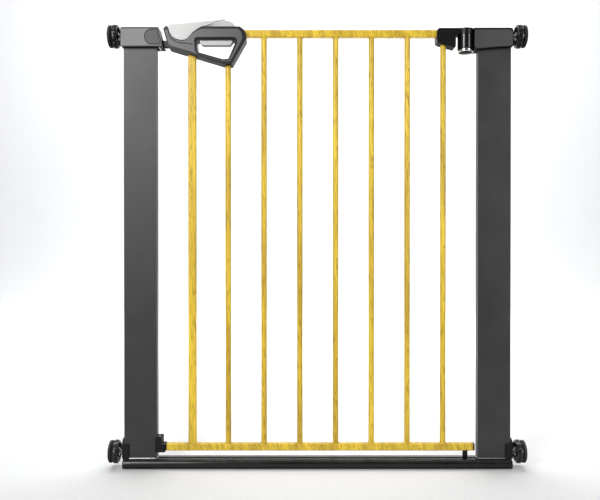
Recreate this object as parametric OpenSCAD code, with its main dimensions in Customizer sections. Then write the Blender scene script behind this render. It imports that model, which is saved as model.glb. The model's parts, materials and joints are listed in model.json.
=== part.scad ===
// Pressure-fit safety gate for a doorway: a U-shaped steel frame with two posts and a low
// threshold, and a barred gate that unlatches at the handle, lifts and swings both ways.
// X runs across the doorway, Y through it and Z up. The origin is at the middle of the threshold,
// on the floor.

/* [Frame] */
// Distance between the outer faces of the two posts
frame_w = 679; // [560:1:900]
// Height of the post housings above the floor
frame_h = 772.5; // [600:0.5:900]
// Width of each post
post_w = 57.5; // [48:0.5:75]
// Depth of each post, front to back
post_d = 15; // [14:0.5:18]
// Wall of the post tube
post_wall = 1.5; // [1:0.1:2]
// Diameter of each of the two threshold tubes
roll_d = 17.2; // [15:0.1:20]
// Gap between the two threshold tubes
roll_gap = 2.4; // [1.5:0.1:4]
// Wall of the threshold tubes
roll_wall = 1.2; // [1:0.1:2]

/* [Gate] */
// Depth of the rails and of the flat first bar, front to back
rail_d = 12; // [10:0.5:13]
// Height of the rails
rail_h = 12.8; // [11:0.1:15]
// Wall of the rails
rail_wall = 1.2; // [1:0.1:2]
// Height of the bottom rail's underside above the floor
rail_lift = 30; // [28:0.5:34]
// Diameter of the seven round bars
bar_d = 10; // [8:0.5:12]
// Width of the flat first bar
flat_bar_w = 14; // [12:0.5:16]
// How far the gate lifts
lift_travel = 8; // [5:0.5:8]

/* [Hinge] */
// Distance from the hinge axis to the post beside it
hinge_offset = 20.5; // [19:0.5:26]
// Diameter of the hinge barrel and knuckle
barrel_d = 28.5; // [26:0.5:29]
// Height of the fixed barrel with its cap
barrel_h = 29.7; // [29:0.1:34]
// Radius of the hinge pin
pin_r = 4; // [3:0.1:4.5]
// Radial clearance of the pin in its bush
pin_fit = 0.05; // [0.02:0.01:0.1]
// Radius of the lower pivot
pivot_r = 4.4; // [4:0.1:5]
// Radius of the lower pivot's spigot
spigot_r = 2.5; // [2:0.1:3]

/* [Latch] */
// Distance from the left post to the lower corner of the latch housing
latch_nose = 12.6; // [12:0.1:16]
// Depth of the housings, front to back
housing_d = 30; // [28:0.5:36]
// Height of the housings
housing_h = 34; // [33:0.5:42]
// Depth of the handle, front to back
handle_d = 26; // [24:0.5:30]
// How far the trigger is pulled
trigger_travel = 5; // [4:0.1:5]
// How far the bolt draws back
bolt_travel = 10.5; // [10.5:0.1:10.8]
// How far the thumb button is pressed
button_travel = 3; // [2:0.1:3]

/* [Spindles] */
// Radius of the threaded rod
rod_r = 4; // [3.5:0.1:4.5]
// Length of the threaded rod
rod_l = 70; // [60:1:80]
// Diameter of the hand wheel over its ribs
wheel_d = 40.6; // [34:0.1:44]
// Width of the hand wheel
wheel_w = 11.4; // [10:0.1:18]
// Number of ribs round the hand wheel
wheel_ribs = 14; // [8:1:20]
// Gap between the post and the hand wheel when screwed in
wheel_gap = 10.3; // [8:0.1:14]
// Diameter of the wall pad
pad_d = 39; // [32:0.5:44]
// Thickness of the wall pad
pad_t = 4.9; // [4:0.1:8]
// Height of the lower spindles above the floor
low_spindle_z = 27.5; // [24:0.5:32]
// Depth of the upper spindles below the housing tops
top_spindle_drop = 12.6; // [10:0.1:16]

/* [Hidden] */
$fn = 48;

// Clearances: between pieces that move past each other, and round a piece that is dropped in place
gap = 0.3;
seat = 0.1;
eps = 1;

black = [0.07, 0.07, 0.07];
charcoal = [0.24, 0.24, 0.25];
light_grey = [0.80, 0.80, 0.79];
wood_gold = [0.84, 0.70, 0.30];
steel = [0.72, 0.73, 0.74];

// Frame
post_out = frame_w / 2;
post_in = post_out - post_w;
post_foot = roll_d - roll_wall + 0.2;
post_top = frame_h - 4;
roll_y = (roll_d + roll_gap) / 2;
plug_t = 1.5;
roll_half = post_out + 1.5;
housing_low = frame_h - housing_h;
top_spindle_z = frame_h - top_spindle_drop;

screw_r = 1.5;
screw_head_r = 2.8;
head_h = 2;
head_sink = 1.5;
housing_screw_z = housing_low + 7;
housing_screw_x = [post_in + 11, post_out - 17];
housing_screw_tip = 3 - housing_d / 2;
latch_housing_x = -post_out - 3.9;
latch_round = 3;
hinge_housing_l = post_in - hinge_offset + 11.5;
hinge_housing_r = post_out + 1.8;
hinge_round = 5;
bush_low = 0.6;
bush_high = 13;
pivot_bush_r = pivot_r + 0.8;

// Hinge
hinge_x = post_in - hinge_offset;
barrel_r = barrel_d / 2;
barrel_top = frame_h - 11;
barrel_low = barrel_top - barrel_h;
cap_h = 5;
bush_h = 7;
bush_r = pin_r + 2;
spring_r = 8;
cup_r = barrel_r - 3.65;
cavity_r = cup_r + gap + 0.1;
cup_h = 2.4;
cup_z = barrel_low + cap_h + gap;
cavity_top = barrel_top - bush_h;
nut_h = 3.1;
knuckle_z = barrel_top + gap;
knuckle_top = frame_h - 0.4;
arm_d = 22;
arm_gap = 5;
key_w = 3;
key_r = cup_r + 1.6;
pin_head_r = 7;
pin_head_h = 2.6;
pin_low = barrel_low + 2;
nut_r = pin_r + 3;

// Gate
latch_x = -post_in + latch_nose;
rail_top = frame_h - 1.9;
rail_low = rail_top - rail_h;
bar_foot = rail_lift + rail_h;
bar1_x = latch_x + 49.2;
bar8_x = hinge_x - 39.6;
bar_pitch = (bar8_x - bar1_x) / 7;
bottom_left = latch_x + 4;
bottom_right = hinge_x + 12.9;
end_cap_t = 3;
rail_round = 2.5;
top_rail_left = latch_x + 128.4;
top_rail_right = bar8_x + 10;
bracket_x = bar8_x - 12.9;
bracket_right = hinge_x - barrel_r - arm_gap;
plug_depth = 12;
collar_t = 1.6;
cup_floor = rail_lift + 6.9;
tongue_w = 8;
tongue_low = cup_floor + 0.6;
tongue_high = rail_lift + rail_h - 1;
keeper_web = 4;
keeper_half = 9.5;
keeper_high = rail_lift + rail_h + 13.2;
rivets_z = [keeper_high - 8.6, keeper_high - 2.9];

// Latch and handle. Points of the handle are measured from the latch housing's lower corner in X
// and from the housing's top in Z.
bolt_z = frame_h - 32;
bolt_h = 11;
bolt_d = 10;
bolt_tip = latch_x - 9.6;
bolt_tail = latch_x + 46.9;
latch_nose_top = latch_x - 8.2;
cam_x = latch_x + 43.4;
cam_z = frame_h - 29;
cam_r = 1.2;
strike_x = latch_x - 8.1;
strike_t = 1.5;
leg_w = 4;
leg_d = 3;
pocket_h = bolt_h + lift_travel + 0.6;
handle_screws_at = [[83.4, -53.3], [29.4, -36.8], [125.8, -42], [137.4, -9]];
handle_screw_tip = 3 - handle_d / 2;
loop_rim = 2.5;
trigger_half = 7;
button_half = 7.5;
leg_x = cam_x - latch_x - leg_w / 2;
arm_low = -20.6;
arm_high = -18;
trigger_x = [63.4, 120.4];
trigger_z = [-29.2, -18];
trigger_spring_x = 84.4;
trigger_spring_top = -8;
button_spring_x = 104;
button_spring_low = -11;
stem_x = 124.5;
stem_low = -9;
stem_r = 2;
// The edge that the handle and its light cover share
cover_edge = [[67, 1.5], [58, -3.6], [50.6, -9.2], [44.9, -15.8], [41.6, -18.9], [38.4, -20.9], [31.6, -21.8],
    [22.1, -19.7], [15.5, -15.4], [11, -8.2], [9, -0.8]];

// Spindles
wheel_in = post_out + wheel_gap;
wheel_out = wheel_in + wheel_w;
pad_in = wheel_out + gap;
thread_fit = 0.05;
rod_hole_r = rod_r + 0.5;
nut_w = 8;
nut_af = post_d - 2 * post_wall - 0.2;
rod_end = wheel_out + 2.5;

// ---- Shapes that several pieces share ----

// A box given by its two corners
module block(low, high) {
    translate(low) cube(high - low);
}

// An outline drawn in X and Z, made solid from y0 to y1
module plate(y0, y1) {
    translate([0, y1, 0]) rotate([90, 0, 0]) linear_extrude(y1 - y0) children();
}

// A round rod along Y
module rod_y(x, z, r, y0, y1) {
    translate([x, y1, z]) rotate([90, 0, 0]) cylinder(r = r, h = y1 - y0);
}

// A round rod along X
module rod_x(x0, x1, z, r, y = 0) {
    translate([x0, y, z]) rotate([0, 90, 0]) cylinder(r = r, h = x1 - x0);
}

// Mirrors what is drawn for the right side (side 1) to the left (side -1)
module on_side(side) {
    if (side < 0) mirror([1, 0, 0]) children();
    else children();
}

// A rectangle with rounded corners, centred
module round_rect(w, h, r) {
    square([w, h - 2 * r], center = true);
    square([w - 2 * r, h], center = true);
    for (x = [r - w / 2, w / 2 - r], y = [r - h / 2, h / 2 - r]) translate([x, y]) circle(r = r);
}

// A rounded rectangular bar along X
module rail_x(x0, x1, z, w, h, r) {
    translate([x0, 0, z]) rotate([90, 0, 90]) linear_extrude(x1 - x0) round_rect(w, h, r);
}

// Everything in front of the mid-plane (side -1) or behind it (side 1)
module half_space(side) {
    translate([-1000, side < 0 ? -1000 : 0, -1000]) cube([2000, 1000, 3000]);
}

// A sprung coil standing on z = 0
module coil(coil_r, wire_r, turns, length) {
    sides = 8;
    per_turn = 16;
    steps = turns * per_turn;
    rise = (length - 2 * wire_r) / steps;
    points = [for (i = [0 : steps], j = [0 : sides - 1])
        let (a = 360 * i / per_turn, b = 360 * j / sides, r = coil_r + wire_r * cos(b))
        [r * cos(a), r * sin(a), wire_r + rise * i + wire_r * sin(b)]];
    first = [for (i = [0 : steps - 1], j = [0 : sides - 1])
        [i * sides + j, (i + 1) * sides + (j + 1) % sides, (i + 1) * sides + j]];
    second = [for (i = [0 : steps - 1], j = [0 : sides - 1])
        [i * sides + j, i * sides + (j + 1) % sides, (i + 1) * sides + (j + 1) % sides]];
    start = [[for (j = [sides - 1 : -1 : 0]) j]];
    end = [[for (j = [0 : sides - 1]) steps * sides + j]];
    polyhedron(points, concat(first, second, start, end));
}

// Rounds the outer corners of an outline by r and its inner corners by q
module soften(r, q) {
    offset(r = -q, $fn = 32) offset(delta = q) offset(r = r, $fn = 32) offset(delta = -r) children();
}

// ---- Frame ----

// A box-section post on the side given by its sign, with holes for the spindles and screws
module post(side) {
    inner_d = post_d / 2 - post_wall;
    on_side(side) difference() {
        block([post_in, -post_d / 2, post_foot], [post_out, post_d / 2, post_top]);
        block([post_in + post_wall, -inner_d, post_foot - eps],
            [post_out - post_wall, inner_d, post_top + eps]);
        for (z = [low_spindle_z, top_spindle_z]) rod_x(post_out - 5, post_out + 5, z, rod_hole_r);
        for (x = housing_screw_x) rod_y(x, housing_screw_z, screw_r + seat, -post_d, post_d);
    }
}

module left_post() { color(charcoal) post(-1); }

module right_post() { color(charcoal) post(1); }

// Two round tubes joined by a flat web, with a land for each post and a hole for the pivot bush
module threshold_tubes() {
    web_low = 3.6;
    web_high = 12;
    color(black) difference() {
        union() {
            for (y = [-roll_y, roll_y])
                rod_x(-post_out, post_out, roll_d / 2, roll_d / 2, y);
            block([-post_out, -roll_y, web_low], [post_out, roll_y, web_high]);
        }
        for (y = [-roll_y, roll_y])
            rod_x(-post_out - eps, post_out + eps, roll_d / 2, roll_d / 2 - roll_wall, y);
        for (x = [-post_out - eps, post_in])
            block([x, -post_d / 2, post_foot], [x + post_w + eps, post_d / 2, roll_d + eps]);
        translate([hinge_x, 0, bush_low]) cylinder(r = pivot_bush_r, h = roll_d);
    }
}

// The two plugs that close each end of the threshold tubes
module threshold_plugs() {
    plug_in = 8;
    color(black) for (side = [-1, 1], y = [-roll_y, roll_y]) on_side(side) {
        rod_x(post_out, roll_half, roll_d / 2, roll_d / 2, y);
        rod_x(post_out - plug_in, post_out, roll_d / 2, roll_d / 2 - roll_wall, y);
    }
}

// The plastic bush that the lower pivot's spigot turns and lifts in
module pivot_bush() {
    color(black) difference() {
        translate([hinge_x, 0, bush_low]) cylinder(r = pivot_bush_r, h = bush_high - bush_low);
        translate([hinge_x, 0, bush_low + 0.6]) cylinder(r = spigot_r + pin_fit, h = roll_d);
    }
}

// Outline of the latch housing, its slanted nose towards the gate
module latch_outline() {
    polygon([[latch_housing_x + latch_round, housing_low], [latch_x, housing_low],
        [latch_nose_top, frame_h], [latch_housing_x + latch_round, frame_h],
        [latch_housing_x, frame_h - latch_round], [latch_housing_x, housing_low + latch_round]]);
    for (z = [housing_low + latch_round, frame_h - latch_round])
        translate([latch_housing_x + latch_round, z]) circle(r = latch_round);
}

// The D-shaped panel sunk in each face of the latch housing
module latch_panel_outline() {
    panel_r = 14;
    panel_z = housing_low + 17;
    panel_x = latch_nose_top - 10.4;
    translate([panel_x, panel_z]) circle(r = panel_r);
    polygon([[panel_x, panel_z - panel_r], [latch_x - 2.4, panel_z - panel_r],
        [latch_nose_top - 0.9, panel_z + panel_r], [panel_x, panel_z + panel_r]]);
}

module latch_strike_shape(grow) {
    half_d = 9 + grow;
    block([strike_x - grow, -half_d, housing_low], [strike_x + strike_t + grow, half_d, frame_h - 10 + grow]);
}

// The pocket that the bolt enters, tall enough for the gate to lift with the bolt out
module latch_pocket(grow) {
    pocket_z = bolt_z - 0.4;
    half_d = bolt_d / 2 + 0.4 + grow;
    block([-post_in + gap, -half_d, pocket_z], [latch_x + eps, half_d, pocket_z + pocket_h + grow]);
}

module latch_strike() {
    color(steel) difference() {
        latch_strike_shape(0);
        latch_pocket(-0.2);
    }
}

// A screw from the rear, its head sunk head_sink below the rear face at y = rear
module screw(x, z, front, rear) {
    rod_y(x, z, screw_r, front, rear - head_sink - head_h);
    rod_y(x, z, screw_head_r, rear - head_sink - head_h, rear - head_sink);
}

// The hole that a screw needs
module screw_room(x, z, front, rear) {
    rod_y(x, z, screw_r + 0.02, front - gap, rear);
    rod_y(x, z, screw_head_r + seat, rear - head_sink - head_h, rear + eps);
}

// The screws that clamp each housing through its post
module housing_screws() {
    color(steel) for (side = [-1, 1], x = housing_screw_x)
        screw(side * x, housing_screw_z, housing_screw_tip, housing_d / 2);
}

module housing_screw_room(side) {
    for (x = housing_screw_x)
        screw_room(side * x, housing_screw_z, housing_screw_tip, housing_d / 2);
}

// The room that a housing leaves for the post and the upper spindle
module post_room(side) {
    half_d = post_d / 2 + seat;
    on_side(side) {
        block([post_in - seat, -half_d, housing_low - 10], [post_out + seat, half_d, post_top]);
        rod_x(post_in, post_out + 10, top_spindle_z, rod_hole_r);
    }
}

module latch_housing(half) {
    panel_sink = 0.9;
    color(black) difference() {
        intersection() {
            plate(-housing_d / 2, housing_d / 2) latch_outline();
            half_space(half);
        }
        post_room(-1);
        latch_pocket(0);
        latch_strike_shape(seat);
        housing_screw_room(-1);
        if (half < 0) plate(-housing_d, -housing_d / 2 + panel_sink) latch_panel_outline();
        if (half > 0) plate(housing_d / 2 - panel_sink, housing_d) latch_panel_outline();
    }
}

module latch_housing_front() { latch_housing(-1); }

module latch_housing_rear() { latch_housing(1); }

// Outline of the hinge housing, with its underside sweeping down towards the hinge
module hinge_outline() {
    low = housing_low;
    top = frame_h - 1.4;
    right = hinge_housing_r;
    polygon([[hinge_housing_l, low - 3.2], [hinge_housing_l + 4, low - 4.4],
        [hinge_housing_l + 12, low - 4.1], [hinge_housing_l + 24, low - 2.8],
        [hinge_housing_l + 42, low - 1.4], [right - hinge_round, low - 0.4], [right, low + 1.2],
        [right, top - hinge_round], [right - hinge_round, top], [hinge_housing_l, top]]);
    translate([right - hinge_round, top - hinge_round]) circle(r = hinge_round);
}

module tongue_shape(grow) {
    half_d = 6 + grow;
    block([hinge_x, -half_d, barrel_low + 12 - grow], [post_in - 0.8 + grow, half_d, barrel_top - 2 + grow]);
}

module hinge_housing(half) {
    color(black) difference() {
        intersection() {
            plate(-housing_d / 2, housing_d / 2) hinge_outline();
            half_space(half);
        }
        post_room(1);
        translate([hinge_x, 0, barrel_low - 10]) cylinder(r = barrel_r + gap, h = 60);
        tongue_shape(0);
        housing_screw_room(1);
    }
}

module hinge_housing_front() { hinge_housing(-1); }

module hinge_housing_rear() { hinge_housing(1); }

// ---- Hinge ----

module at_hinge(z) {
    translate([hinge_x, 0, z]) children();
}

// The fixed barrel, with a tongue held in the housing and a keyway for the spring cup
module hinge_barrel() {
    color(black) difference() {
        union() {
            at_hinge(barrel_low + cap_h) cylinder(r = barrel_r, h = barrel_h - cap_h);
            tongue_shape(0);
        }
        at_hinge(barrel_low) cylinder(r = cavity_r, h = cavity_top - barrel_low);
        at_hinge(cavity_top - eps) cylinder(r = bush_r, h = bush_h + 2 * eps);
        at_hinge(0) block([-key_r - gap, -key_w / 2, barrel_low], [0, key_w / 2, cavity_top]);
    }
}

// The bright cap that closes the barrel's lower end
module barrel_cap() {
    cap_floor = 1.5;
    cap_room = nut_r + 1.5;
    color(steel) difference() {
        at_hinge(barrel_low) cylinder(r = barrel_r, h = cap_h);
        at_hinge(barrel_low + cap_floor) cylinder(r = cap_room, h = cap_h);
    }
}

module hinge_bush() {
    color(light_grey) difference() {
        at_hinge(cavity_top) cylinder(r = bush_r, h = bush_h);
        at_hinge(cavity_top - eps) cylinder(r = pin_r + pin_fit, h = bush_h + 2 * eps);
    }
}

// The cup under the closing spring: it lifts with the pin and is keyed against turning
module spring_cup() {
    color(steel) difference() {
        union() {
            at_hinge(cup_z) cylinder(r = cup_r, h = cup_h);
            at_hinge(cup_z) block([-key_r, -key_w / 2 + gap, 0], [-pin_r - 2, key_w / 2 - gap, cup_h]);
        }
        at_hinge(cup_z - eps) cylinder(r = pin_r + 0.4, h = cup_h + 2 * eps);
    }
}

module closing_spring() {
    spring_z = cup_z + cup_h;
    color(steel) at_hinge(spring_z) coil(spring_r, 0.6, 4, cavity_top - spring_z);
}

// The pin that turns and lifts with the gate: its head is sunk in the knuckle
module hinge_pin() {
    color(steel) {
        at_hinge(pin_low) cylinder(r = pin_r, h = knuckle_top - pin_low);
        at_hinge(knuckle_top - pin_head_h) cylinder(r = pin_head_r, h = pin_head_h);
    }
}

module hinge_nut() {
    color(steel) difference() {
        at_hinge(pin_low) cylinder(r = nut_r, h = nut_h, $fn = 6);
        at_hinge(pin_low - eps) cylinder(r = pin_r, h = nut_h + 2 * eps);
    }
}

// The bracket that holds the ends of the top rail and of the last bar, and carries the knuckle
module bracket_outline() {
    low = housing_low;
    polygon([[bracket_x + 4, knuckle_top], [bracket_x + 0.8, knuckle_top - 3],
        [bracket_x, knuckle_top - 8], [bracket_x, low + 13], [bracket_x + 1, low + 9.6],
        [bracket_x + 4, low + 7.6], [bracket_right - 3, low], [bracket_right - 1, low + 0.3],
        [bracket_right, low + 2], [bracket_right, knuckle_z - 4],
        [bracket_right + 1.2, knuckle_z - 1.2], [bracket_right + 4, knuckle_z],
        [hinge_x, knuckle_z], [hinge_x, knuckle_top]]);
}

module hinge_bracket() {
    color(black) difference() {
        union() {
            plate(-arm_d / 2, arm_d / 2) bracket_outline();
            at_hinge(knuckle_z) cylinder(r = barrel_r, h = knuckle_top - knuckle_z);
        }
        at_hinge(knuckle_z - eps) cylinder(r = pin_r, h = 20);
        at_hinge(knuckle_top - pin_head_h) cylinder(r = pin_head_r, h = 10);
        top_rail_shape();
        translate([bar8_x, 0, housing_low - 20]) cylinder(r = bar_d / 2, h = rail_low - housing_low + 20);
    }
}

// ---- Gate ----

module top_rail_shape() {
    rail_x(top_rail_left, top_rail_right, rail_low + rail_h / 2, rail_d, rail_h, rail_round);
}

// The hollow of a rail, between two places along X
module rail_hollow(x0, x1, z) {
    rail_x(x0, x1, z, rail_d - 2 * rail_wall, rail_h - 2 * rail_wall, rail_round - rail_wall);
}

module top_rail() {
    color(wood_gold) difference() {
        top_rail_shape();
        rail_hollow(top_rail_left - eps, top_rail_right + eps, rail_low + rail_h / 2);
        screw_room_at(3);
    }
}

module bottom_rail() {
    mid_z = rail_lift + rail_h / 2;
    color(wood_gold) difference() {
        rail_x(bottom_left, bottom_right, mid_z, rail_d, rail_h, rail_round);
        rail_hollow(bottom_left - eps, bottom_right + eps, mid_z);
    }
}

// The height at which each bar ends: the first two end inside the handle
function bar_top(i) = i == 0 ? frame_h - 38 : i == 1 ? frame_h - 58 : rail_low;

// Outline of a bar seen from above: the first is a flat tube and the others are round
module bar_outline(i, inset) {
    if (i == 0) round_rect(flat_bar_w - 2 * inset, rail_d - 2 * inset, rail_round - inset);
    else circle(r = bar_d / 2 - inset);
}

module bar_shape(i, inset) {
    translate([bar1_x + i * bar_pitch, 0, bar_foot]) linear_extrude(bar_top(i) - bar_foot)
        bar_outline(i, inset);
}

module bar(i) {
    color(wood_gold) difference() {
        bar_shape(i, 0);
        translate([bar1_x + i * bar_pitch, 0, bar_foot - eps]) linear_extrude(frame_h)
            bar_outline(i, rail_wall);
    }
}

module bar_1() { bar(0); }

module bar_2() { bar(1); }

module bar_3() { bar(2); }

module bar_4() { bar(3); }

module bar_5() { bar(4); }

module bar_6() { bar(5); }

module bar_7() { bar(6); }

module bar_8() { bar(7); }

// The black cap in the right end of the bottom rail
module rail_end_cap() {
    mid_z = rail_lift + rail_h / 2;
    color(black) {
        rail_x(bottom_right, bottom_right + end_cap_t, mid_z, rail_d, rail_h, rail_round);
        rail_hollow(bottom_right - plug_depth, bottom_right, mid_z);
    }
}

// The black end of the bottom rail, whose tongue drops into the keeper
module rail_end_bolt() {
    mid_z = rail_lift + rail_h / 2;
    tip = -post_in + 5.5;
    color(black) {
        rail_hollow(bottom_left, bottom_left + plug_depth, mid_z);
        rail_x(bottom_left - collar_t, bottom_left, mid_z, rail_d, rail_h, rail_round);
        block([tip, -tongue_w / 2, tongue_low], [bottom_left - collar_t, tongue_w / 2, tongue_high]);
    }
}

// The pin under the bottom rail that the gate turns on
module lower_pivot() {
    tip_z = bush_high + 0.7;
    shoulder_z = tip_z + 2.3;
    spigot_low = bush_low + 0.9;
    flange_h = 1.2;
    color(black) translate([hinge_x, 0, 0]) {
        translate([0, 0, shoulder_z]) cylinder(r = pivot_r, h = rail_lift - shoulder_z);
        translate([0, 0, tip_z]) cylinder(r1 = pivot_r - 1.4, r2 = pivot_r, h = shoulder_z - tip_z);
        translate([0, 0, spigot_low]) cylinder(r = spigot_r, h = tip_z - spigot_low);
        translate([0, 0, rail_lift - flange_h]) cylinder(r = pivot_r + 1.1, h = flange_h);
    }
}

// The keeper on the left post: a clip round the post's edge, two cheeks and a cup for the tongue
module gate_keeper() {
    edge = -post_in;
    web_x = edge + keeper_web;
    low = rail_lift - 1.6;
    high = keeper_high;
    color(black) difference() {
        union() {
            block([edge - 2.9, -keeper_half, low], [edge, keeper_half, high - 2.9]);
            block([edge, -keeper_half, low], [web_x + 5, keeper_half, high]);
            block([web_x, -keeper_half, low], [bottom_left - collar_t - 0.5, keeper_half, rail_lift + rail_h - 0.3]);
        }
        block([edge - 10, -post_d / 2, 0], [edge, post_d / 2, high + eps]);
        block([web_x, -tongue_w / 2 - 0.6, cup_floor], [bottom_left, tongue_w / 2 + 0.6, high + eps]);
        keeper_rivet_shapes();
    }
}

module keeper_rivet_shapes() {
    for (z = rivets_z) rod_x(-post_in - 3, -post_in + keeper_web, z, screw_r);
}

module keeper_rivets() {
    color(steel) {
        difference() {
            keeper_rivet_shapes();
            post_wall_room();
        }
        for (z = rivets_z) rod_x(-post_in + keeper_web, -post_in + keeper_web + 1, z, screw_head_r);
    }
}

// The wall of the left post, which the rivets' shanks are cut back from
module post_wall_room() {
    block([-post_in - post_wall, -post_d, 0], [-post_in, post_d, frame_h]);
}

// ---- Handle and latch ----

// Draws in the handle's own plane: X from the latch housing's corner, Y from the housing's top
module handle_plane() {
    translate([latch_x, frame_h]) children();
}

module handle_outline() {
    handle_plane() soften(2, 2) polygon(concat([[0, -1.8], [9.5, -35.2], [107.8, -64.6], [119.8, -64.2],
        [144.8, -20.5], [144.8, -13.5], [141.2, -4], [133.8, 1.5]], cover_edge, [[6.7, 3.8]]));
}

// The opening that the fingers go through
module loop_outline() {
    handle_plane() soften(4, 0) polygon([[57.4, -20.7], [124.4, -20.7], [126.1, -25.2],
        [113.7, -54.3], [103.7, -54.8], [59.6, -42.3]]);
}

// The light cover that fills the handle's top from the nose to the thumb button
module cover_outline() {
    handle_plane() polygon(concat([[9, 4.8], [108.2, 14.3], [98, 11.2], [85, 6.9], [74, 3.2]], cover_edge));
}

module button_outline() {
    handle_plane() polygon([[70.4, -1], [70.4, 1.4], [84, 5.7], [97, 10], [108.2, 13.4], [114, 13],
        [119, 11], [123.5, 7], [126, 3], [126.4, -1]]);
}

// A block placed in the handle's plane and centred on the mid-plane
module handle_block(x0, x1, z0, z1, half_d) {
    block([latch_x + x0, -half_d, frame_h + z0], [latch_x + x1, half_d, frame_h + z1]);
}

module screw_room_at(i) {
    screw_room(latch_x + handle_screws_at[i][0], frame_h + handle_screws_at[i][1],
        handle_screw_tip, handle_d / 2);
}

module handle_screws() {
    color(steel) for (at = handle_screws_at)
        screw(latch_x + at[0], frame_h + at[1], handle_screw_tip, handle_d / 2);
}

// The room inside the handle for the bolt, the trigger, the button and their springs
module latch_room() {
    handle_block(-20, bolt_tail + bolt_travel + 0.5 - latch_x, bolt_z - frame_h - gap,
        bolt_z - frame_h + bolt_h + gap, bolt_d / 2 + gap);
    handle_block(leg_x - gap, leg_x + leg_w + gap, -32.3, arm_high + trigger_travel + gap, leg_d / 2 + gap);
    handle_block(leg_x - gap, trigger_x[0], arm_low - gap, arm_high + trigger_travel + gap, leg_d / 2 + gap);
    handle_block(trigger_x[0] - 0.5, trigger_x[1] + 0.5, -25, trigger_z[1] + trigger_travel + gap,
        trigger_half + gap);
    handle_block(70.4 - gap, 126.4 + gap, -1 - button_travel - gap, 16, button_half + gap);
    translate([latch_x + trigger_spring_x, 0, frame_h - 20]) cylinder(r = 4, h = 20 + trigger_spring_top);
    translate([latch_x + button_spring_x, 0, frame_h + button_spring_low]) cylinder(r = 4, h = 11);
    translate([latch_x + stem_x, 0, frame_h + stem_low - button_travel - gap])
        cylinder(r = stem_r + gap, h = 12);
}

module handle_shell(half) {
    color(black) difference() {
        plate(half < 0 ? -handle_d / 2 : 0, half < 0 ? 0 : handle_d / 2) difference() {
            handle_outline();
            loop_outline();
            offset(delta = seat) cover_outline();
        }
        if (half < 0) plate(-handle_d, loop_rim - handle_d / 2) offset(delta = loop_rim) loop_outline();
        latch_room();
        top_rail_shape();
        for (i = [0, 1]) bar_shape(i, 0);
        for (i = [0 : 3]) screw_room_at(i);
    }
}

module handle_front() { handle_shell(-1); }

module handle_rear() { handle_shell(1); }

module handle_top_cover() {
    color(light_grey) difference() {
        plate(1 - handle_d / 2, handle_d / 2 - 1) cover_outline();
        latch_room();
    }
}

// The trigger: its grip hangs in the loop and its leg's cam pin draws the bolt back
module trigger() {
    chamfer = 4.4;
    color(light_grey) {
        plate(-trigger_half, trigger_half) handle_plane() polygon([[trigger_x[0], trigger_z[1]],
            [trigger_x[0], trigger_z[0] + chamfer], [trigger_x[0] + chamfer, trigger_z[0]],
            [trigger_x[1] - chamfer, trigger_z[0]], [trigger_x[1], trigger_z[0] + chamfer],
            [trigger_x[1], trigger_z[1]]]);
        handle_block(leg_x, trigger_x[0], arm_low, arm_high, leg_d / 2);
        handle_block(leg_x, leg_x + leg_w, -32, arm_high, leg_d / 2);
        rod_y(cam_x, cam_z, cam_r, 0.2 - bolt_d / 2, bolt_d / 2 - 0.2);
    }
}

// The bolt: its tip is bevelled both ways and its slot turns the trigger's pull into a draw
module latch_bolt() {
    tip_half = 2.5;
    bevel = 3;
    slot_r = cam_r + 0.25;
    slot_run = norm([bolt_travel, trigger_travel]);
    slot_tilt = atan2(trigger_travel, -bolt_travel);
    half_d = bolt_d / 2;
    eps_r = 0.03;
    color(black) difference() {
        translate([0, 0, bolt_z]) linear_extrude(bolt_h) polygon([[bolt_tip, -tip_half],
            [bolt_tip + bevel, -half_d], [bolt_tail, -half_d], [bolt_tail, half_d],
            [bolt_tip + bevel, half_d], [bolt_tip, tip_half]]);
        block([cam_x - bolt_travel - leg_w / 2 - 0.5, -leg_d / 2 - gap, 0],
            [bolt_tail + eps, leg_d / 2 + gap, frame_h]);
        for (t = [0, 1])
            rod_y(cam_x - t * bolt_travel, cam_z + t * trigger_travel, slot_r, -bolt_d, bolt_d);
        translate([cam_x, 0, cam_z]) rotate([0, -slot_tilt, 0])
            block([0, -bolt_d, eps_r - slot_r], [slot_run, bolt_d, slot_r - eps_r]);
    }
}

module thumb_button() {
    color(light_grey) {
        plate(-button_half, button_half) button_outline();
        translate([latch_x + stem_x, 0, frame_h + stem_low]) cylinder(r = stem_r, h = -1 - stem_low);
    }
}

module trigger_spring() {
    length = trigger_spring_top - trigger_z[1];
    color(steel) translate([latch_x + trigger_spring_x, 0, frame_h + trigger_z[1]]) coil(3, 0.45, 4, length);
}

module button_spring() {
    length = -1 - button_spring_low;
    color(steel) translate([latch_x + button_spring_x, 0, frame_h + button_spring_low])
        coil(3, 0.45, 5, length);
}

// ---- Spindles ----

// The plastic foot collar round the outer edge of a post, with a hole for the lower spindle
module foot_collar(side) {
    lap = 8.4;
    side_t = 3.4;
    half_d = post_d / 2 + 3;
    high = 42.3;
    color(black) on_side(side) difference() {
        union() {
            block([post_out - lap, -half_d, roll_d + seat], [post_out + side_t, half_d, high]);
            rod_x(post_out, post_out + side_t, high - 1, half_d);
        }
        block([0, -post_d / 2, 0], [post_out, post_d / 2, frame_h]);
        rod_x(post_out - eps, post_out + 5, low_spindle_z, rod_hole_r);
    }
}

module left_collar() { foot_collar(-1); }

module right_collar() { foot_collar(1); }

// The four captive nuts, one inside the outer wall of each post end
module spindle_nuts() {
    nut_out = post_out - post_wall;
    color(steel) for (side = [-1, 1], z = [low_spindle_z, top_spindle_z]) on_side(side)
        difference() {
            translate([nut_out - nut_w, 0, z]) rotate([0, 90, 0])
                cylinder(r = nut_af / 2 / cos(30), h = nut_w, $fn = 6);
            rod_x(0, post_out, z, rod_r + thread_fit);
        }
}

module spindle_rod(side, z) {
    color(steel) on_side(side) rod_x(rod_end - rod_l, rod_end, z, rod_r);
}

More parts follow.
